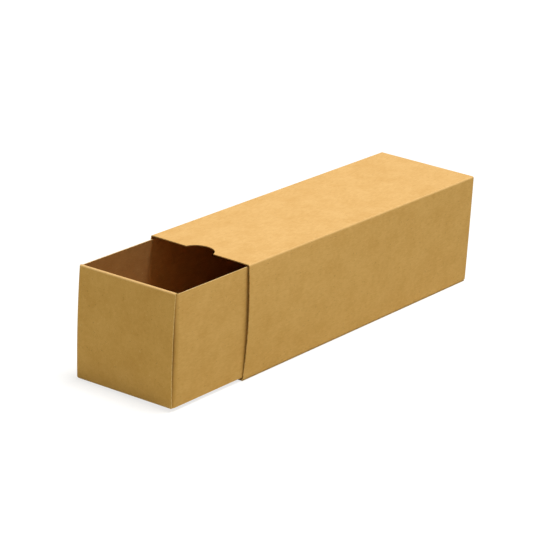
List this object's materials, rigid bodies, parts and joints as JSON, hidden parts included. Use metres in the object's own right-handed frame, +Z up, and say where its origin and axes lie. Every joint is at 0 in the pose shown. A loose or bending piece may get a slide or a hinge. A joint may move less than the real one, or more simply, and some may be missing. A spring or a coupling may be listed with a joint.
{
  "type": "sliding drawer gift box",
  "caption": "Long open-ended kraft card sleeve with a thumb notch, and a folded card drawer with rolled ends that slides in it, standing part way out.",
  "frame": {"origin": "on the table, under the middle of the whole box as it stands with the drawer pulled part way out", "axes": "+Z up, +Y from the drawer's front towards the back of the sleeve, +X to the right as seen from the front"},
  "size_m": [0.0632, 0.2538, 0.0594],
  "materials": {
    "sleeve_card": "uncoated brown kraft card, matt, die-cut and creased",
    "drawer_card": "uncoated brown kraft card, matt, die-cut and creased",
    "dried_adhesive": "thin film of dried dispersion adhesive"
  },
  "bodies": {
    "sleeve": {"sleeve": "sleeve_card", "sleeve_seam_glue": "dried_adhesive"},
    "drawer": {"drawer": "drawer_card"}
  },
  "joints": [
    {"name": "drawer_slide", "type": "slide", "parent": "sleeve", "child": "drawer", "axis": [0, -1, 0], "range_m": [-0.054, 0.146]}
  ]
}
